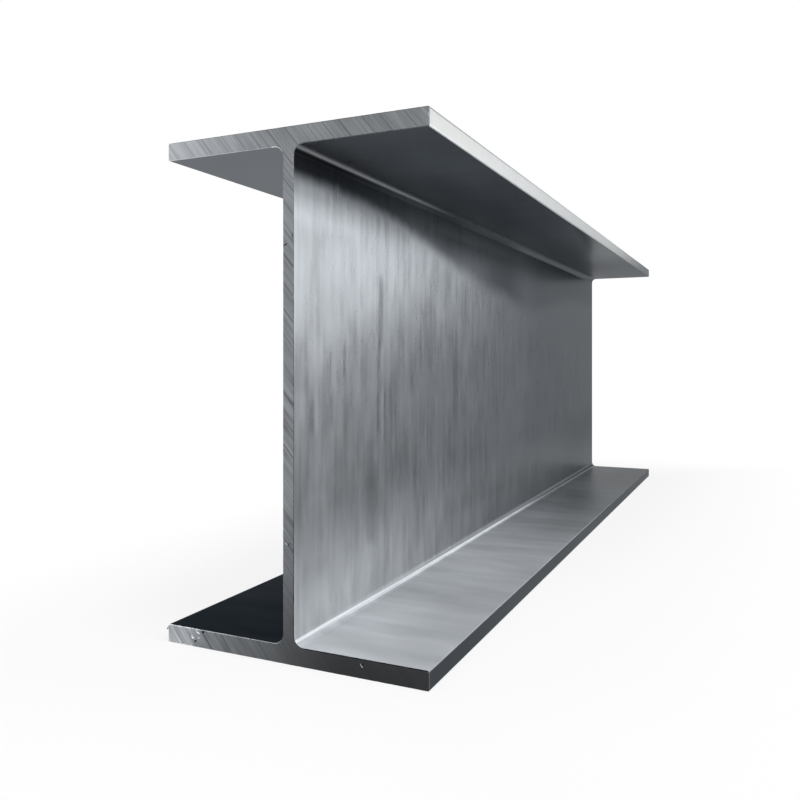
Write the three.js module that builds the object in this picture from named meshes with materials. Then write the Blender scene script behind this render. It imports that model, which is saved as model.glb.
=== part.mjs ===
// A cut length of hot-rolled wide-flange steel beam (an I-beam), in millimetres.
//
// X runs along the beam, Y across its flanges and Z up its web. The origin is the middle of the
// bottom flange's underside, where the beam rests.

import * as THREE from "three";

// The section, as it leaves the rolls.
const sectionDepth = 258; // over both flanges
const flangeWidth = 146;
const flangeThickness = 9.1;
const webThickness = 6.1;
const rootRadius = 5; // fillet between web and flange
const toeRadius = 0.8; // rolled corners of each flange's edge

// The length, as it leaves the saw.
const beamLength = 720;
const endArris = 0.3; // edge taken off all round each sawn end

// Pairs of facets in each quarter-round corner.
const cornerDivisions = 5;

const steelColour = 0x8d9297;
const steelRoughness = 0.5;
const steelMetalness = 0.9;

// One quarter of the section, from the web's face to the top of the flange. The section's middle is
// at (0, 0), and the quarter goes counter-clockwise: root fillet, inner toe corner, outer toe corner.
function quarterOutline() {
  const webFace = webThickness / 2;
  const toeFace = flangeWidth / 2;
  const outerFace = sectionDepth / 2;
  const innerFace = outerFace - flangeThickness;

  const toe = Math.min(toeRadius, flangeThickness / 2);
  const root = Math.min(rootRadius, innerFace, toeFace - toe - webFace);

  const quarter = new THREE.Path();
  quarter.moveTo(webFace, innerFace - root);
  quarter.absarc(webFace + root, innerFace - root, root, Math.PI, Math.PI / 2, true);
  quarter.lineTo(toeFace - toe, innerFace);
  quarter.absarc(toeFace - toe, innerFace + toe, toe, -Math.PI / 2, 0, false);
  quarter.lineTo(toeFace, outerFace - toe);
  quarter.absarc(toeFace - toe, outerFace - toe, toe, 0, Math.PI / 2, false);
  return quarter.getPoints(cornerDivisions);
}

// The same points in another quarter. A single mirroring turns the outline's direction round, so the
// points are then taken in reverse to keep it counter-clockwise.
function mirrored(points, across, up) {
  const copy = points.map((point) => new THREE.Vector2(point.x * across, point.y * up));
  return across * up < 0 ? copy.reverse() : copy;
}

// The whole section: both flanges, the web and the four root fillets, in one closed outline.
function beamSection() {
  const quarter = quarterOutline();
  return new THREE.Shape([
    ...mirrored(quarter, 1, 1),
    ...mirrored(quarter, -1, 1),
    ...mirrored(quarter, -1, -1),
    ...mirrored(quarter, 1, -1),
  ]);
}

// The section drawn out along its own normal, with the arris taken off inside the outline, so that
// the flats keep the section's full size and the two ends stay beamLength apart.
function beamGeometry(arris) {
  return new THREE.ExtrudeGeometry(beamSection(), {
    depth: beamLength - 2 * arris,
    bevelEnabled: true,
    bevelThickness: arris,
    bevelSize: arris,
    bevelOffset: -arris,
    bevelSegments: 1,
  });
}

function makeBeam() {
  const steel = new THREE.MeshStandardMaterial({
    color: steelColour,
    roughness: steelRoughness,
    metalness: steelMetalness,
  });
  const arris = Math.min(endArris, toeRadius / 2, webThickness / 4);

  const beam = new THREE.Mesh(beamGeometry(arris), steel);
  beam.name = "i_beam";
  // The section's plane stands up across the beam: its x becomes Y, its y becomes Z.
  beam.rotation.set(Math.PI / 2, 0, Math.PI / 2, "ZYX");
  beam.position.set(arris - beamLength / 2, 0, sectionDepth / 2);
  return beam;
}

const part = new THREE.Group();
part.add(makeBeam());

export default part;
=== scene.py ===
"""A cut length of hot-rolled wide-flange steel beam, standing in a white studio.

Metres, +Z up. X runs along the beam, Y across its flanges, and it rests on the floor at Z = 0.
"""

import math
import random

import bmesh
import bpy
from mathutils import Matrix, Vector


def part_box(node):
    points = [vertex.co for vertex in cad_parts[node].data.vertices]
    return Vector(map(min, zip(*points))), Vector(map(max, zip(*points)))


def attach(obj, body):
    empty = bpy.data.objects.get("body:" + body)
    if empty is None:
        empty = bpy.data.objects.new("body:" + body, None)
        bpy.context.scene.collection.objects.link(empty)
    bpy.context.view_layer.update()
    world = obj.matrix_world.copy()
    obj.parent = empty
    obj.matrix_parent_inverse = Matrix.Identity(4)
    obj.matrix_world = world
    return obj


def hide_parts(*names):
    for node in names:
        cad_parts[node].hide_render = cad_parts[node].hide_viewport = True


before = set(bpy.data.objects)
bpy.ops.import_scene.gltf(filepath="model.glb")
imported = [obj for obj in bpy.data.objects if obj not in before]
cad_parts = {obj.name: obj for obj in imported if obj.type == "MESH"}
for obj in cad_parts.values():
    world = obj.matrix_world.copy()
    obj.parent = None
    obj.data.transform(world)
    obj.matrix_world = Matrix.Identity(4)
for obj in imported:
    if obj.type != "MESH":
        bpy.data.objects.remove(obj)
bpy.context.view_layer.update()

MM = 0.001

# The beam's outer size, as the frame has it.
beam_low, beam_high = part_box("i_beam")
NEAR_END = beam_low.x
FAR_END = beam_high.x
TOE = beam_high.y
BEAM_TOP = beam_high.z

# The rolled section inside that size.
FLANGE = 9.1 * MM
WEB_FACE = 6.1 * MM / 2
UNDER_TOP = BEAM_TOP - FLANGE
ROOT_RADIUS = 5.0 * MM
TOE_RADIUS = 0.8 * MM
ROOT_SEGMENTS = 10
TOE_SEGMENTS = 4

# The sawn ends: the edge taken off round them, and the marks that the saw left.
ARRIS = 0.35 * MM
ARRIS_REACH = 1.1 * ARRIS
RIM_BITE = 0.15 * MM
SAW_SEED = 7
SAW_LEAN = math.radians(51)
SAW_PITCH = 2.65 * MM
SAW_PITCH_SPREAD = 0.8 * MM
SAW_GROOVE = 1.3 * MM
SAW_GROOVE_SHARE = (0.6, 1.2)
SAW_FINE = 0.02 * MM
SAW_DEEP = 0.05 * MM
SAW_BITE_SHARE = (0.4, 1)
SAW_STEP = 0.012 * MM
DEEP_EVERY = 3

# How near two places are that count as one, how squarely a face looks sideways, how little a flat
# face may bend, and the turn past which an edge is crisp.
TOUCHING = 0.01 * MM
SIDEWAYS = 0.9
FLAT_ANGLE = math.radians(1)
SMOOTH_ANGLE = math.radians(30)


# ------------------------------------------------------------------ modelling by hand, in code

def deselect_all():
    bpy.ops.object.select_all(action="DESELECT")


def take_up(piece):
    """Makes a piece the only one selected, and the one that operators work on."""
    deselect_all()
    bpy.context.view_layer.objects.active = piece
    piece.select_set(True)


def start_edit(piece):
    """Goes into edit mode on one piece alone and gives its mesh, to select in."""
    take_up(piece)
    bpy.ops.object.mode_set(mode="EDIT")
    return bmesh.from_edit_mesh(piece.data)


def end_edit():
    bpy.ops.object.mode_set(mode="OBJECT")


def pick(kind, elements, wanted):
    """Selects, of a mesh's faces, edges or vertices, the ones that wanted() says yes to."""
    bpy.ops.mesh.select_mode(type=kind)
    bpy.ops.mesh.select_all(action="DESELECT")
    for element in elements:
        if wanted(element):
            element.select_set(True)


def same(value, target, within=TOUCHING):
    return abs(value - target) < within


def add_block(name, low, high):
    """A box between two corners, its place in its mesh."""
    deselect_all()
    centre = (Vector(low) + Vector(high)) / 2
    bpy.ops.mesh.primitive_cube_add(size=1, location=centre, scale=Vector(high) - Vector(low))
    bpy.ops.object.transform_apply(location=True, rotation=True, scale=True)
    block = bpy.context.object
    block.name = name
    block.data.name = name
    return block


def apply_modifier(piece, kind, **settings):
    take_up(piece)
    modifier = piece.modifiers.new(kind.lower(), kind)
    for name, value in settings.items():
        setattr(modifier, name, value)
    bpy.ops.object.modifier_apply(modifier=modifier.name)


# ------------------------------------------------------------------ the rolled beam

def is_beside_flange(face, side):
    """Whether a face of the web's plate is on one side of it, level with a flange."""
    height = face.calc_center_median().z
    return face.normal.y * side > SIDEWAYS and not FLANGE < height < UNDER_TOP


def pull_out_flanges(mesh):
    """Cuts the web's plate at the flanges' inner faces and pulls both flanges out of its sides."""
    for height in (FLANGE, UNDER_TOP):
        bpy.ops.mesh.select_all(action="SELECT")
        bpy.ops.mesh.bisect(plane_co=(0, 0, height), plane_no=(0, 0, 1))
    for side in (1, -1):
        pick("FACE", mesh.faces, lambda face: is_beside_flange(face, side))
        bpy.ops.mesh.extrude_region_move(
            TRANSFORM_OT_translate={"value": (0, side * (TOE - WEB_FACE), 0)})
    bpy.ops.mesh.select_all(action="SELECT")
    bpy.ops.mesh.dissolve_limited(angle_limit=FLAT_ANGLE)


def is_long(edge):
    return abs(edge.verts[0].co.x - edge.verts[1].co.x) > (FAR_END - NEAR_END) / 2


def round_long_edges(mesh, across, radius, segments):
    """Rounds the edges along the beam that lie that far from its middle, on both sides."""
    pick("EDGE", mesh.edges, lambda edge: is_long(edge) and same(abs(edge.verts[0].co.y), across))
    bpy.ops.mesh.bevel(offset=radius, segments=segments, affect="EDGES")


def on_end(element, end, within=TOUCHING):
    """Whether all of a face or an edge is that near to one end."""
    return all(same(vertex.co.x, end, within) for vertex in element.verts)


def take_off_arris(mesh):
    """The fine edge taken off all round both ends."""
    pick("EDGE", mesh.edges, lambda edge: on_end(edge, NEAR_END) or on_end(edge, FAR_END))
    bpy.ops.mesh.bevel(offset=ARRIS, segments=1, affect="EDGES")


def saw_marks(chance):
    """Where each saw mark crosses the section and how deep it is: (place, depth), in order."""
    marks = []
    place = -TOE
    number = 0
    level = 0
    while place < BEAM_TOP:
        deepest = SAW_DEEP if number % DEEP_EVERY == 0 else SAW_FINE
        bite = deepest * chance.uniform(*SAW_BITE_SHARE)
        groove = SAW_GROOVE * chance.uniform(*SAW_GROOVE_SHARE)
        marks.append((place, level))
        marks.append((place + groove / 2, SAW_STEP + bite))
        level = chance.uniform(0, SAW_STEP)
        marks.append((place + groove, level))
        place += SAW_PITCH + chance.uniform(-1, 1) * SAW_PITCH_SPREAD
        number += 1
    return marks


def across_saw(point):
    """How far a point of the section is across the saw's marks, which climb towards +Y."""
    return point.z * math.cos(SAW_LEAN) - point.y * math.sin(SAW_LEAN)


def depth_at(marks, place):
    """How deep the saw went at a place across its marks, on a straight slope between two."""
    for (before, shallow), (after, deep) in zip(marks, marks[1:]):
        if before <= place <= after:
            return shallow + (deep - shallow) * (place - before) / (after - before)
    return 0


def cut_along_marks(mesh, end, marks):
    """Cuts one end and its arris along the lines where each saw mark starts, bottoms and ends."""
    across = Vector((0, -math.sin(SAW_LEAN), math.cos(SAW_LEAN)))
    for place, _ in marks:
        pick("FACE", mesh.faces, lambda face: on_end(face, end, ARRIS_REACH))
        bpy.ops.mesh.bisect(plane_co=across * place, plane_no=across)


def saw_end(mesh, end, chance):
    """Cuts one end along every saw mark, sinks the marks into it and leaves its rim uneven."""
    inward = 1 if end == NEAR_END else -1
    marks = saw_marks(chance)
    cut_along_marks(mesh, end, marks)
    face_points = [vertex for vertex in mesh.verts if same(vertex.co.x, end)]
    rim = [vertex for vertex in mesh.verts if same(vertex.co.x, end + inward * ARRIS)]
    rim.sort(key=lambda vertex: (round(vertex.co.z / MM, 3), round(vertex.co.y / MM, 3)))
    for vertex in face_points:
        vertex.co.x += inward * depth_at(marks, across_saw(vertex.co))
    for vertex in rim:
        vertex.co.x += inward * chance.uniform(0, RIM_BITE)


# The nicks that handling left in the near end, in millimetres: how far across and up the end the
# middle of each is, how long, wide and deep it bites, and its lean from level in degrees.
END_NICKS = (
    (1.7, 201.2, 3.2, 0.7, 1.0, -27),
    (-2.4, 205.4, 3.6, 0.7, 0.4, 86),
    (1.2, 58.2, 2.6, 1.0, 0.5, 50),
    (-0.6, 57.6, 1.8, 0.9, 0.5, -55),
    (2.0, 55.4, 1.6, 0.6, 0.5, 40),
    (57.1, 4.8, 3.6, 1.8, 0.6, 47),
    (53.4, 4.9, 1.8, 1.7, 0.6, 10),
    (54.0, 7.6, 6.0, 0.8, 0.3, 27),
    (55.4, 3.0, 1.6, 1.0, 1.3, -35),
    (50.6, 8.2, 2.0, 1.2, 1.2, -15),
    (62.2, 0.5, 2.6, 1.3, 0.5, 20),
    (60.2, 0.3, 1.2, 1.0, 0.5, 0),
    (58.4, 0.4, 1.6, 1.2, 0.5, -15),
    (-39.3, 6.1, 2.6, 0.6, 0.4, 52),
    (-40.4, 6.9, 0.9, 0.8, 1.2, 0),
    (26.6, 248.9, 2.4, 0.5, 0.4, 5),
    (21.5, 248.9, 1.6, 0.5, 0.4, -5),
    (17.0, 249.0, 2.8, 0.5, 0.4, 0),
)
NICK_SEED = 3
NICK_ROUGHNESS = 0.12
NICK_REACH = 1.5 * MM

# The thin leaf of metal that the saw left hanging from the lower flange's toe.
BURR_PLACE = Vector((NEAR_END + 0.6 * MM, TOE + 0.2 * MM, FLANGE - 1.8 * MM))
BURR_SIZE = Vector((1.0, 3.6, 1.1)) * MM
BURR_LEAN = math.radians(-47)


def add_pebble(name, centre, size, lean, seed):
    """A rough flat pebble, long in Y before it is leaned about X."""
    deselect_all()
    bpy.ops.mesh.primitive_ico_sphere_add(subdivisions=2, radius=0.5, location=(0, 0, 0))
    pebble = bpy.context.object
    pebble.name = name
    start_edit(pebble)
    bpy.ops.mesh.select_all(action="SELECT")
    bpy.ops.transform.vertex_random(offset=NICK_ROUGHNESS, seed=seed)
    bpy.ops.transform.resize(value=size, center_override=(0, 0, 0))
    end_edit()
    pebble.rotation_euler = (lean, 0, 0)
    pebble.location = centre
    bpy.ops.object.transform_apply(location=True, rotation=True, scale=True)
    return pebble


def combine(piece, tool, operation):
    """Cuts a tool's shape out of a piece, or joins it on, and throws the tool away."""
    apply_modifier(piece, "BOOLEAN", object=tool, operation=operation, solver="MANIFOLD")
    bpy.data.objects.remove(tool)


def nick_end(beam):
    """Bites every nick out of the near end with a pebble of its size."""
    for number, (across, up, length, width, deep, lean) in enumerate(END_NICKS):
        centre = Vector((NEAR_END, across * MM, up * MM))
        size = Vector((2 * deep, length, width)) * MM
        pebble = add_pebble("nick", centre, size, math.radians(lean), NICK_SEED + number)
        combine(beam, pebble, "DIFFERENCE")


def add_burr(beam):
    leaf = add_pebble("burr", BURR_PLACE, BURR_SIZE, BURR_LEAN, NICK_SEED)
    combine(beam, leaf, "UNION")


def is_sawn(face):
    """Whether a face belongs to one end: all of its outline is within a nick's depth of it."""
    return on_end(face, NEAR_END, NICK_REACH) or on_end(face, FAR_END, NICK_REACH)


def finish_faces(beam):
    """Smooth rolled faces with true flats, crisp sawn ones, and a finish for each."""
    beam.data.materials.clear()
    beam.data.materials.append(mill_steel())
    beam.data.materials.append(sawn_steel())
    take_up(beam)
    bpy.ops.object.shade_smooth_by_angle(angle=SMOOTH_ANGLE)
    mesh = start_edit(beam)
    pick("FACE", mesh.faces, is_sawn)
    bpy.context.object.active_material_index = 1
    bpy.ops.object.material_slot_assign()
    bpy.ops.mesh.faces_shade_flat()
    end_edit()
    apply_modifier(beam, "WEIGHTED_NORMAL", keep_sharp=True)


def make_beam():
    """The web's plate with its flanges pulled out, its long edges rounded and its ends sawn."""
    beam = add_block("rolled_beam", (NEAR_END, -WEB_FACE, 0), (FAR_END, WEB_FACE, BEAM_TOP))
    mesh = start_edit(beam)
    pull_out_flanges(mesh)
    round_long_edges(mesh, WEB_FACE, ROOT_RADIUS, ROOT_SEGMENTS)
    round_long_edges(mesh, TOE, TOE_RADIUS, TOE_SEGMENTS)
    take_off_arris(mesh)
    chance = random.Random(SAW_SEED)
    saw_end(mesh, NEAR_END, chance)
    saw_end(mesh, FAR_END, chance)
    end_edit()
    nick_end(beam)
    add_burr(beam)
    finish_faces(beam)
    return beam


# ------------------------------------------------------------------ shader sums as expressions

class Socket:
    """One output of a shader. A sum on it adds the Math nodes, and node() adds any other node."""

    def __init__(self, tree, output):
        self.tree = tree
        self.output = output

    def node(self, kind, settings=None, inputs=None, take=0):
        """Adds a node, with its settings first and then its sockets' values or links."""
        made = self.tree.nodes.new(kind)
        for name, value in (settings or {}).items():
            setattr(made, name, value)
        for name, value in (inputs or {}).items():
            if isinstance(value, Socket):
                self.tree.links.new(value.output, made.inputs[name])
            else:
                made.inputs[name].default_value = value
        return Socket(self.tree, made.outputs[take])

    def math(self, operation, first, second=0.0):
        return self.node("ShaderNodeMath", {"operation": operation}, {0: first, 1: second})

    def __add__(self, other):
        return self.math("ADD", self, other)

    def __radd__(self, other):
        return self.math("ADD", other, self)

    def __sub__(self, other):
        return self.math("SUBTRACT", self, other)

    def __rsub__(self, other):
        return self.math("SUBTRACT", other, self)

    def __mul__(self, other):
        return self.math("MULTIPLY", self, other)

    def __rmul__(self, other):
        return self.math("MULTIPLY", other, self)

    def __abs__(self):
        return self.math("ABSOLUTE", self)


def new_material(name):
    """A material with its shader, and the piece's own coordinates to paint it by."""
    material = bpy.data.materials.new(name)
    material.use_nodes = True
    tree = material.node_tree
    shader = tree.nodes["Principled BSDF"]
    place = Socket(tree, tree.nodes.new("ShaderNodeTexCoord").outputs["Object"])
    return material, shader, place


def axes(place):
    """X, Y and Z of a place, each as a number."""
    split = place.node("ShaderNodeSeparateXYZ", None, {0: place})
    outputs = split.output.node.outputs
    return tuple(Socket(place.tree, outputs[axis]) for axis in "XYZ")


def rise(value, low, high):
    """0 below low and 1 above high, with a soft step between."""
    return value.node("ShaderNodeMapRange", {"interpolation_type": "SMOOTHSTEP"},
                      {"Value": value, "From Min": low, "From Max": high})


def fall(value, low, high):
    """1 below low and 0 above high, with a soft step between."""
    return 1 - rise(value, low, high)


def hill(value, foot, top, top_end, foot_end):
    """1 from top to top_end, and 0 outside the feet of the soft slopes on both sides."""
    return rise(value, foot, top) * fall(value, top_end, foot_end)


def band(value, low, high, soft):
    """1 between low and high and 0 outside them, equally soft on both sides."""
    return hill(value, low - soft, low, high, high + soft)


def stretched(place, along_x, along_y, along_z, lean=0.0):
    """The place for a pattern whose clouds are that long each way, leaning about X."""
    return place.node("ShaderNodeMapping", {"vector_type": "TEXTURE"}, {
        "Vector": place, "Rotation": (lean, 0, 0), "Scale": (along_x, along_y, along_z)})


def noise(place, detail=3.0, roughness=0.55, distortion=0.0):
    """Cloudy noise about 0, from -0.5 to 0.5, one cloud for each repeat of the place."""
    return place.node("ShaderNodeTexNoise", {"noise_dimensions": "3D", "normalize": True}, {
        "Vector": place, "Scale": 1.0, "Detail": detail, "Roughness": roughness,
        "Distortion": distortion}) - 0.5


def tinted(amount, colour):
    """A colour made lighter or darker by an amount."""
    return amount.node("ShaderNodeVectorMath", {"operation": "SCALE"}, {
        0: colour, "Scale": amount})


def feed(shader, name, value):
    value.tree.links.new(value.output, shader.inputs[name])


# ------------------------------------------------------------------ steel

STEEL = (0.205, 0.216, 0.228)
STEEL_EDGE_TINT = (0.36, 0.37, 0.38, 1.0)


def new_steel(name):
    """Bare steel under a name, its colour still to come."""
    material, shader, place = new_material(name)
    shader.inputs["Metallic"].default_value = 1.0
    shader.inputs["Specular Tint"].default_value = STEEL_EDGE_TINT
    return material, shader, place


# ------------------------------------------------------------------ the rolled faces
#
# What lies on the rolled faces is masked by where it is, and its shade says how much lighter a mask
# of 1 makes the steel, or how much darker below 0. Much of it is painted light and shade, some over
# a pale dusting; the grain and run marks are the steel's own. A sum such as 0.35 + 0.65 * near_half
# is how strong a mark is all over, and how much stronger it is on one stretch. Turns are in
# degrees.

MILL_ROUGHNESS = 0.28
MILL_ROUGHER = 0.15
SCALED_ROUGHER = 0.12

DUST_ROUGHNESS = 0.62
DUST_METALLIC = 0.15
# Strengths of the painted light over the dusting, underside light, web highlights, shadow, far
# shade, and toe and fillet highlights.
DUST_AND_LIGHT_SHADE = 1.05
PALE_SHADE = 1.4
WEB_HIGHLIGHT_SHADE = 0.24
PAINTED_SHADOW_SHADE = -0.94
FAR_SHADE = -1.0
TOE_HIGHLIGHT_SHADE = 1.2
TOE_HIGHLIGHT_WARMTH = (0.03, 0.01, -0.02)
FILLET_HIGHLIGHT_SHADE = 1.5

# How softly the masks of the faces end: all of them, and those of the flanges' inner faces.
FACE_SOFT = 0.1 * MM
LEDGE_SOFT = 0.4 * MM


def fillet_turn(across, up):
    """The turn round a fillet in degrees: 0 at the web's end of it, 90 at the flange's."""
    return up.math("ARCTAN2", up, across) * math.degrees(1)


class Rolled:
    """Where a point of a rolled face is: how far along from the near end, how far out from the
    middle and how high, its turn round each fillet, and its face."""

    def __init__(self, place):
        x, y, self.z = axes(place)
        self.along = x - NEAR_END
        self.out = abs(y)
        self.front = fall(y, -WEB_FACE, WEB_FACE)
        across = ROOT_RADIUS + WEB_FACE - self.out
        self.upper_turn = fillet_turn(across, self.z - (UNDER_TOP - ROOT_RADIUS))
        self.lower_turn = fillet_turn(across, FLANGE + ROOT_RADIUS - self.z)
        self.between = band(self.z, FLANGE, UNDER_TOP, FACE_SOFT)
        self.on_web = fall(self.out, WEB_FACE, WEB_FACE + 1 * MM) * self.between
        self.on_lower_ledge = band(self.z, FLANGE, FLANGE + 1 * MM, LEDGE_SOFT)
        self.on_underside = band(self.z, UNDER_TOP - FACE_SOFT, UNDER_TOP + FACE_SOFT, LEDGE_SOFT)
        self.on_top = rise(self.z, BEAM_TOP - 2 * FACE_SOFT, BEAM_TOP - FACE_SOFT)
        self.on_toe = rise(self.out, TOE - 0.5 * MM, TOE - 0.2 * MM)


def fillet_highlight(at):
    """A painted highlight along the lower fillet: on its middle by the sawn end, and higher up
    farther on.
    """
    climb = 16 * rise(at.along, 0, 140 * MM)
    brighter = 0.8 + 0.2 * rise(at.along, 60 * MM, 200 * MM)
    faded = fall(at.along, 300 * MM, 495 * MM)
    return at.front * at.between * band(at.lower_turn - climb, 30, 44, 10) * brighter * faded


def dust_and_light(at):
    """A pale dusting and painted light on the lower flange and the web's foot, cleared where the
    fillet shines.
    """
    cleared_for_highlight = band(at.lower_turn, 34, 50, 6) * rise(at.along, 60 * MM, 180 * MM)
    return at.front * (ledge_dust_and_light(at) + foot_dust_and_light(at)) * (1 - cleared_for_highlight)


def ledge_dust_and_light(at):
    """Thickest near the sawn end, where much of it is painted light, and thinner at the toe."""
    near_half = fall(at.along, 200 * MM, 470 * MM)
    by_end = fall(at.along, 0, 120 * MM)
    by_toe = rise(at.out, 20 * MM, 70 * MM)
    return at.on_lower_ledge * (0.35 + 0.65 * near_half + 0.16 * by_end) * (1 - 0.12 * by_toe)


def foot_dust_and_light(at):
    """A fillet's height up from the flange, dying out up the web, and mostly painted light near the
    sawn end.
    """
    foot = hill(at.z, FLANGE, FLANGE + ROOT_RADIUS, 15 * MM, 80 * MM)
    return foot * (0.2 + 0.85 * fall(at.along, 0, 320 * MM))


def film(at):
    """Painted light in the upper root, as a less metallic grey layer: on the fillet's far side and
    the underside by it.
    """
    line = at.between * band(at.upper_turn, 52, 64, 8) * fall(at.along, 130 * MM, 230 * MM)
    by_root = fall(at.out, 5 * MM, 40 * MM)
    far_half = rise(at.along, 260 * MM, 510 * MM)
    return at.front * (0.45 * line + at.on_underside * (0.075 * by_root + 0.05 * far_half))


def pale(at):
    """Painted light on the upper flange's underside, all but its far toe."""
    all_over = (0.25 + 0.75 * at.front) * fall(at.along, 320 * MM, 590 * MM)
    near_patch = band(at.along, 90 * MM, 320 * MM, 70 * MM)
    far_patch = band(at.along, 390 * MM, 500 * MM, 70 * MM)
    patches = rise(at.out, 5 * MM, 60 * MM) * (0.55 * near_patch + 0.3 * far_patch)
    far_toe = rise(at.out + 0.12 * at.along, 103.2 * MM, 112.2 * MM)
    return at.on_underside * (all_over + at.front * patches) * (1 - 0.8 * far_toe)


def painted_shadow(at, waves):
    """Painted shadow: in the upper root under the upper flange, on the lower flange behind the web,
    and on the lower toe.
    """
    on_root = rise(above_root_edge(at, waves), -4 * MM, 4 * MM) * root_shadow(at)
    behind = (1 - at.front) * at.on_lower_ledge * (0.5 + 0.36 * fall(at.along, 120 * MM, 360 * MM))
    near_toe = fall(at.along, 0, 160 * MM)
    far_toe = rise(at.along, 340 * MM, 540 * MM)
    toe = at.front * at.on_toe * fall(at.z, FLANGE - 1 * MM, FLANGE)
    return on_root + behind + toe * (0.27 + 0.25 * near_toe + 0.28 * far_toe)


# Where the root's painted shadow ends: the height of its edge, how far that waves, and how far it
# drops along the beam.
ROOT_SHADOW_EDGE = 235.5 * MM
ROOT_SHADOW_WAVES = 6 * MM
ROOT_SHADOW_DROP = 18.5 * MM


def above_root_edge(at, waves):
    """How far a point is above the wavy edge of the root's painted shadow, which drops along the
    beam.
    """
    farther = rise(at.along, 40 * MM, 300 * MM)
    above = (at.z - ROOT_SHADOW_EDGE + ROOT_SHADOW_WAVES * waves) * (1 - 0.55 * farther)
    middle_lift = 4 * MM * band(at.along, 260 * MM, 320 * MM, 80 * MM)
    far_lift = 9 * MM * rise(at.along, 420 * MM, 620 * MM)
    return above + ROOT_SHADOW_DROP * farther - middle_lift - far_lift


def root_shadow(at):
    """How dark the painted shadow in the upper root is: most at the near end, and up to the middle
    of its fillet.
    """
    near = fall(at.along, 20 * MM, 300 * MM)
    past_near = rise(at.along, 100 * MM, 210 * MM)
    low_edge = 1 + fall(at.z, 231 * MM, 237 * MM)
    middle = band(at.along, 220 * MM, 340 * MM, 80 * MM) * low_edge
    on_fillet = rise(at.upper_turn, -5, 12) * fall(at.along, 310 * MM, 460 * MM)
    more_on_fillet = (0.2 + 0.08 * past_near - 0.07 * near) * on_fillet
    up_to_middle = at.front * at.between * fall(at.upper_turn - 12 * past_near, 34, 54)
    return (0.2 + 0.67 * near + 0.17 * middle + more_on_fillet) * up_to_middle


def painted_far_shade(at):
    """Painted shade towards the far end, heaviest on the web's foot and its fillet."""
    far_half = rise(at.along, 360 * MM, 460 * MM)
    foot = fall(at.z, 45 * MM, 100 * MM) * rise(at.along, 460 * MM, 660 * MM)
    outer = at.on_lower_ledge * rise(at.out, 15 * MM, 50 * MM) * rise(at.along, 240 * MM, 340 * MM)
    fillet = at.between * band(at.lower_turn, 40, 62, 12) * rise(at.along, 400 * MM, 455 * MM)
    amount = 0.12 * far_half + 0.3 * foot + 0.17 * outer + 0.22 * fillet
    return at.front * amount * (1 - at.on_toe)


# The painted highlights on the web, in millimetres: where each starts, is full, dies
# down and ends along from the near end, the same going up, and how strong it is. A highlight that
# starts before the near end is full there.
WEB_HIGHLIGHTS = (
    ((20, 100, 250, 330), (130, 190, 210, 232), 1.0),
    ((-20, -10, 15, 55), (226, 232, 233, 239), 1.7),
    ((-20, -10, 40, 140), (60, 100, 150, 190), 0.45),
    ((-20, -10, 35, 110), (209, 218, 226, 235), 0.8),
    ((170, 230, 340, 400), (2, 14, 28, 40), 0.85),
)


def web_highlights(at):
    """All of the painted highlights together."""
    total = 0
    for along, up, strength in WEB_HIGHLIGHTS:
        lengthways = hill(at.along, *(place * MM for place in along))
        upright = hill(at.z, *(place * MM for place in up))
        total = total + strength * (lengthways * upright)
    return at.front * at.on_web * total


def toe_highlight(at):
    """A painted highlight on the upper flange's toes, weaker just below their upper edge, fading
    out at the far end.
    """
    upper_edge = rise(at.z, BEAM_TOP - 1.6 * MM, BEAM_TOP - 0.8 * MM)
    up = rise(at.z, UNDER_TOP, UNDER_TOP + 0.5 * MM) * (1 - 0.45 * upper_edge)
    return at.on_toe * up * fall(at.along, 420 * MM, 700 * MM)


# The plainest run marks down the web, in millimetres: how far along from the near end each one's
# middle is, its top, its foot and its width, and how much darker it is than the steel round it, or
# paler where that is below 0.
RUN_MARKS = (
    (96, 190, 158, 5.0, 0.26),
    (94, 154, 144, 2.4, 0.24),
    (92, 142, 109, 2.0, 0.16),
    (98, 124, 104, 1.8, -0.16),
    (101, 124, 102, 2.6, 0.18),
    (51, 151, 141, 3.0, 0.26),
    (36, 146, 136, 1.6, 0.20),
    (17, 121, 113, 4.0, 0.24),
    (37, 124, 116, 3.0, 0.20),
    (22, 126, 112, 3.0, -0.14),
    (142, 134, 129, 4.0, 0.20),
    (82, 96, 46, 12.0, 0.20),
    (89, 84, 52, 5.0, 0.12),
    # This broad one is painted shade, dimming the highlight by the sawn end.
    (14, 205, 160, 30.0, 0.11),
    (6, 152, 134, 14.0, 0.20),
    # This broad paler one is painted light near the sawn end.
    (20, 76, 50, 26.0, -0.13),
)
RUN_MARK_ENDS = 8 * MM


def run_marks(at):
    """All of the plain run marks together."""
    total = 0
    for middle, top, foot, width, dark in RUN_MARKS:
        across = fall(abs(at.along - middle * MM), 0.2 * width * MM, 0.9 * width * MM)
        upright = band(at.z, foot * MM, top * MM, RUN_MARK_ENDS)
        total = total + dark * (across * upright)
    return total * at.front


def mill_marks(place, at):
    """The marks of rolling and water about 0, and the broad waves among them."""
    upright = stretched(place, 9 * MM, 34 * MM, 34 * MM)
    runs = noise(upright, detail=2.0, roughness=0.6, distortion=0.1)
    drips = noise(stretched(place, 5 * MM, 90 * MM, 90 * MM), detail=1.0, distortion=0.08)
    blotches = noise(stretched(place, 32 * MM, 48 * MM, 48 * MM), detail=3.0)
    near_half = fall(at.along, 140 * MM, 420 * MM)
    specks = near_half * at.on_web * speckled(place)
    grain = 0.55 * runs + 0.4 * drips + 0.5 * blotches + 0.08 * specks
    strength = (0.42 + 0.58 * near_half) * grain_on_face(at)
    return strength * grain + smeared(place, at), runs + blotches


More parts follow.
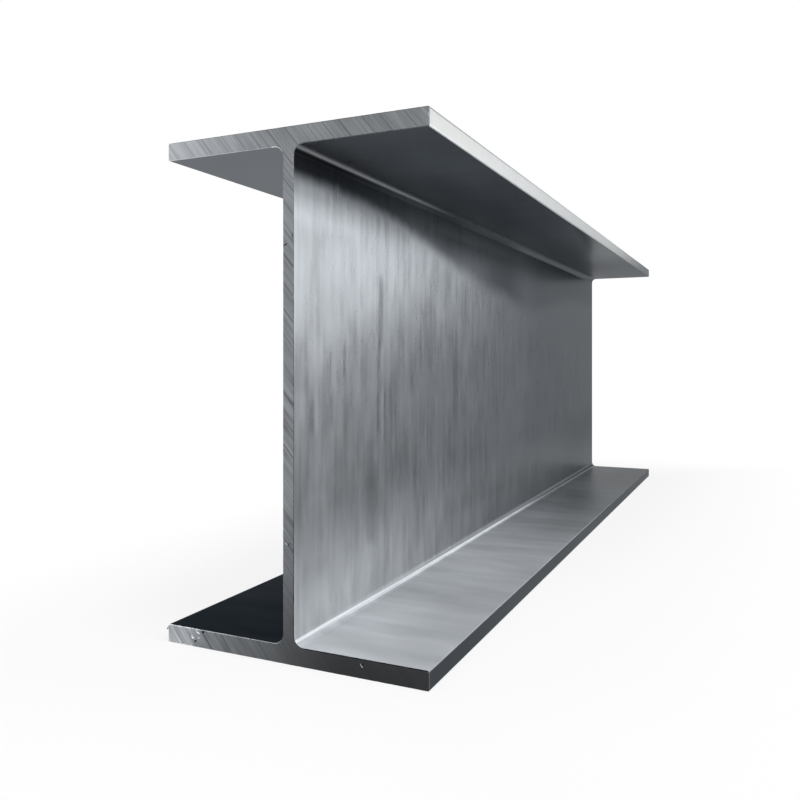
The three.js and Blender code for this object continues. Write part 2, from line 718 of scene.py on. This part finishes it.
def speckled(place):
    """Sparse fine specks, pale ones above 0 and dark ones below."""
    specks = noise(stretched(place, 2.2 * MM, 5 * MM, 5 * MM), detail=1.0)
    return rise(specks, 0.2, 0.3) - rise(0 - specks, 0.17, 0.27)


def grain_on_face(at):
    """How plainly each face shows its grain: most on the web, but for the top of its far end."""
    on_face = 0.14 + 0.86 * at.on_web + 0.4 * at.on_top
    high_and_far = rise(at.z + 0.14 * at.along, 238.4 * MM, 246.4 * MM) * at.on_web
    return on_face * (1 - 0.6 * high_and_far)


def smeared(place, at):
    """Soft smears across both flanges' inner faces, broader and plainer farther along."""
    smears = noise(stretched(place, 16 * MM, 60 * MM, 60 * MM), detail=2.0)
    patches = noise(stretched(place, 60 * MM, 90 * MM, 90 * MM), detail=3.0)
    far_half = rise(at.along, 160 * MM, 410 * MM)
    lower = at.on_lower_ledge * (0.55 * smears + (0.15 + 0.45 * far_half) * patches)
    return lower + 0.12 * at.on_underside * smears


def mill_steel():
    """Rolled faces under their scale, with marks of rolling and water, a pale dusting, and painted
    light and shade.
    """
    material, shader, place = new_steel("mill_steel")
    at = Rolled(place)
    marks, waves = mill_marks(place, at)
    dusty_and_lit = dust_and_light(at)
    filmed_and_lit = film(at)
    toe_lit = toe_highlight(at)
    # Painted light (partly over the dusting), painted shadow and shade, and painted highlights on
    # the toes and the fillet.
    lighter = DUST_AND_LIGHT_SHADE * dusty_and_lit + PALE_SHADE * pale(at) + WEB_HIGHLIGHT_SHADE * web_highlights(at) + filmed_and_lit
    darker = PAINTED_SHADOW_SHADE * painted_shadow(at, waves) + FAR_SHADE * painted_far_shade(at)
    brighter = TOE_HIGHLIGHT_SHADE * toe_lit + FILLET_HIGHLIGHT_SHADE * fillet_highlight(at)
    shade = (1 + marks - run_marks(at)) * (1 + lighter + darker + brighter)
    steel = tinted(shade, STEEL)
    warmed = steel.node("ShaderNodeVectorMath", {"operation": "ADD"}, {
        0: steel, 1: tinted(toe_lit, TOE_HIGHLIGHT_WARMTH)})
    feed(shader, "Base Color", warmed)
    feed(shader, "Metallic", 1 - (1 - DUST_METALLIC) * dusty_and_lit - filmed_and_lit)
    scaled = at.on_underside * rise(at.along, 440 * MM, 600 * MM)
    rougher = (DUST_ROUGHNESS - MILL_ROUGHNESS) * dusty_and_lit + SCALED_ROUGHER * scaled
    feed(shader, "Roughness", MILL_ROUGHNESS + rougher + MILL_ROUGHER * marks)
    return material


# ------------------------------------------------------------------ the sawn ends
#
# A sawn end is painted by how deep each point lies below its outermost face, and by where it is.

SAWN_ROUGHNESS = 0.36
SAWN_ROUGHER = 0.1
SAWN_TONE = 1.12
# Painted shade at the lower -Y corner, painted light on the +Y toes, and painted shade on the -Y
# side.
CORNER_SHADE = 0.84
END_TOE_LIGHT = 0.95
HALF_SHADE = 0.2
GROOVE_SHADE = 0.42
PIT_SHADE = 0.8


class Sawn:
    """Where a point of a sawn end is: how deep, how far across and up, on which toe, and how much
    painted shade it takes.
    """

    def __init__(self, place):
        x, self.y, self.z = axes(place)
        self.depth = FAR_END - abs(x)
        self.top_toe = rise(self.y, 5 * MM, 80 * MM) * rise(self.z, 200 * MM, UNDER_TOP)
        lower_flange = fall(self.z, FLANGE, 14 * MM)
        self.low_half = rise(self.y, 5 * MM, 40 * MM) * lower_flange
        self.low_toe = rise(self.y, 47 * MM, 66 * MM) * lower_flange
        # Painted shade, darker towards the lower corner on the -Y side.
        self.shaded_corner = fall(self.y, -36 * MM, 82 * MM) * fall(self.z, 0, 88 * MM)


def edge_glints(at):
    """Painted glints on an end's edges, partly fresh metal: the +Y side, two corners and a nick;
    darker below 0, painted shade on the -Y side.
    """
    web_height = band(at.z, 14 * MM, UNDER_TOP - 6 * MM, 2 * MM)
    far_side = fall(at.y, -3 * MM, 0) * (0.35 + 0.2 * web_height)
    far_corner = fall(at.y, -TOE, 1 * MM - TOE) * fall(at.z, FLANGE, FLANGE + 1 * MM)
    side = rise(at.y, 0, 3 * MM) - 1.4 * rise(at.y, TOE, TOE + 0.3 * MM)
    root = band(at.y, 4 * MM, 9 * MM, 1 * MM) * rise(at.z, 243 * MM, 245 * MM)
    nick = band(at.y, -41 * MM, -37.5 * MM, 0.5 * MM) * band(at.z, 4.5 * MM, 8 * MM, 0.5 * MM)
    return side - far_side + 0.85 * far_corner + 2.5 * root + 2.2 * nick


def scored(place, at):
    """The scores that the blade left beside its grooves, about 0, and how light they leave it."""
    scores = noise(stretched(place, 1, 30 * MM, 0.8 * MM, SAW_LEAN), detail=1.0)
    bands = noise(stretched(place, 1, 30 * MM, 3.0 * MM, SAW_LEAN), detail=2.0)
    patches = noise(stretched(place, 1, 60 * MM, 12 * MM, SAW_LEAN), detail=2.0)
    heavy = band(at.z, 55 * MM, 70 * MM, 8 * MM) + band(at.z, 104 * MM, 132 * MM, 8 * MM)
    banded = (0.6 + 1.2 * heavy + 1.3 * at.low_half - 0.35 * at.top_toe) * bands
    marks = (0.45 + 0.8 * heavy) * scores + banded + 0.3 * patches
    return scores + bands, SAWN_TONE - 0.12 * heavy + marks * (1 - 0.6 * at.shaded_corner)


def end_light_and_shade(at):
    """How much lighter or darker than plain steel an end is: painted shade at its lower -Y corner
    and -Y side, painted light on its +Y toes, and glints on its edges.
    """
    dim = fall(at.y, -35 * MM, 0) * (1 - at.shaded_corner)
    edges = rise(at.depth, 0.13 * MM, 0.2 * MM) * edge_glints(at)
    return 1 - CORNER_SHADE * at.shaded_corner - HALF_SHADE * dim + END_TOE_LIGHT * (at.top_toe + at.low_toe) + edges


def darkened(at):
    """What the dirt and painted shade in the saw's grooves and in the nicks' pits leave of an end's
    shade.
    """
    grooves = band(at.depth, 0.045 * MM, 0.07 * MM, 0.035 * MM)
    in_grooves = grooves * (1 - 0.8 * at.shaded_corner - 0.5 * at.top_toe)
    in_pits = rise(at.depth, 0.55 * MM, 0.85 * MM)
    return (1 - GROOVE_SHADE * in_grooves) * (1 - PIT_SHADE * in_pits)


def sawn_steel():
    """Sawn ends: scored by the blade, with dirt and painted shade in its grooves, and painted
    light, shade and glints.
    """
    material, shader, place = new_steel("sawn_steel")
    at = Sawn(place)
    scores, tone = scored(place, at)
    feed(shader, "Base Color", tinted(tone * end_light_and_shade(at) * darkened(at), STEEL))
    feed(shader, "Roughness", SAWN_ROUGHNESS + SAWN_ROUGHER * scores)
    return material


# ------------------------------------------------------------------ the studio

BACKDROP_TOP = math.sin(math.radians(27))
BACKDROP_FADE = math.sin(math.radians(60))
CEILING = 0.15
FILL = 0.35
WHITE = (1, 1, 1, 1)

FLOOR_SIZE = 40
FLOOR_COLOUR = (0.8, 0.8, 0.8, 1)
FLOOR_GLOW = 0.8
SHADOW_REACH = 0.2


def seen_rays(tree):
    """1 for the rays that the camera, a mirror or a glass sends out, and 0 for the others."""
    rays = tree.nodes.new("ShaderNodeLightPath").outputs
    camera, glossy, clear = (
        Socket(tree, rays[name])
        for name in ("Is Camera Ray", "Is Glossy Ray", "Is Transmission Ray"))
    return camera.math("MAXIMUM", camera.math("MAXIMUM", camera, glossy), clear)


def make_world():
    """A white surround up to above the camera's view, dim overhead, and a plain fill light."""
    world = bpy.data.worlds.new("studio")
    world.use_nodes = True
    bpy.context.scene.world = world
    tree = world.node_tree
    direction = Socket(tree, tree.nodes.new("ShaderNodeTexCoord").outputs["Generated"])
    height = axes(direction)[2]
    surround = 1 - (1 - CEILING) * rise(height, BACKDROP_TOP, BACKDROP_FADE)
    seen = seen_rays(tree)
    strength = seen * surround + (1 - seen) * FILL
    tree.links.new(strength.output, tree.nodes["Background"].inputs["Strength"])
    tree.nodes["Background"].inputs["Color"].default_value = WHITE


def beyond(value, edge):
    """How far a place is past an edge on either side of 0, and 0 within it."""
    return value.math("MAXIMUM", abs(value) - edge, 0.0)


def make_floor():
    """A white floor that still takes a little of the beam's shadow close to it."""
    deselect_all()
    bpy.ops.mesh.primitive_plane_add(size=FLOOR_SIZE, location=(0, 0, 0))
    floor = bpy.context.object
    floor.name = "floor"
    material, shader, place = new_material("floor_white")
    tree = material.node_tree
    shader.inputs["Base Color"].default_value = FLOOR_COLOUR
    shader.inputs["Roughness"].default_value = 1.0
    shader.inputs["Specular IOR Level"].default_value = 0.0
    glow = tree.nodes.new("ShaderNodeEmission")
    x, y = axes(place)[:2]
    away = beyond(x, FAR_END).math("MAXIMUM", beyond(x, FAR_END), beyond(y, TOE))
    glowing = FLOOR_GLOW + (1 - FLOOR_GLOW) * rise(away, 0.0, SHADOW_REACH)
    mixed = glowing.node("ShaderNodeMixShader", None, {
        0: glowing * seen_rays(tree),
        1: Socket(tree, shader.outputs[0]),
        2: Socket(tree, glow.outputs[0])})
    tree.links.new(mixed.output, tree.nodes["Material Output"].inputs["Surface"])
    floor.data.materials.append(material)


LAMP_TARGET = Vector((-0.25, 0, 0.13))
LAMP_DISTANCE = 1.3

# Each soft lamp: its name, its bearing and height in degrees, its width and its brightness.
LAMPS = (
    ("key", -41, 8, 0.4, 3.9),
    ("side", -28, 17, 0.5, 1.65),
    ("slip", -10, 16, 0.3, 1.3),
    ("top", -110, 42, 0.8, 6.5),
    ("end", 180, 45, 0.6, 6.4),
    ("left", 110, 40, 0.6, 2.0),
    ("rim", 60, 6, 0.5, 3.0),
)


def lamp_place(bearing, height):
    """A place on the round of lamps: its bearing from +X towards +Y, and its height, in degrees."""
    turn = math.radians(bearing)
    lift = math.radians(height)
    level = math.cos(lift)
    return LAMP_TARGET + LAMP_DISTANCE * Vector((
        level * math.cos(turn), level * math.sin(turn), math.sin(lift)))


def add_lamp(name, bearing, height, width, brightness):
    """A round soft lamp, out of the camera's sight; brightness is its face's, where white is 1."""
    data = bpy.data.lights.new(name + "_lamp", "AREA")
    data.shape = "DISK"
    data.size = width
    data.energy = brightness * math.pi * math.pi * width * width / 4
    lamp = bpy.data.objects.new(name + "_lamp", data)
    bpy.context.scene.collection.objects.link(lamp)
    lamp.location = lamp_place(bearing, height)
    lamp.rotation_euler = (LAMP_TARGET - lamp.location).to_track_quat("-Z", "Y").to_euler()
    lamp.visible_camera = False


# The camera: where it stands, how far it turns from +Y towards +X, and its lens and its film's
# width in millimetres, with the film's shift as a share of that width.
CAMERA_PLACE = (-0.6868, -0.2074, 0.1465)
CAMERA_BEARING = math.radians(64.4)
CAMERA_LENS = 36.12
CAMERA_FILM = 36
CAMERA_SHIFT = (0.0203, -0.0514)


def make_camera():
    """Eye level with the middle of the web, close to the sawn end and to the right of it."""
    data = bpy.data.cameras.new("camera")
    data.lens = CAMERA_LENS
    data.sensor_width = CAMERA_FILM
    data.shift_x, data.shift_y = CAMERA_SHIFT
    data.clip_start = 10 * MM
    camera = bpy.data.objects.new("camera", data)
    bpy.context.scene.collection.objects.link(camera)
    camera.location = CAMERA_PLACE
    camera.rotation_euler = (math.radians(90), 0, -CAMERA_BEARING)
    bpy.context.scene.camera = camera


make_camera()
make_world()
make_floor()
for lamp in LAMPS:
    add_lamp(*lamp)
bpy.context.scene.view_settings.view_transform = "Standard"

beam = make_beam()
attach(beam, "root")
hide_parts("i_beam")
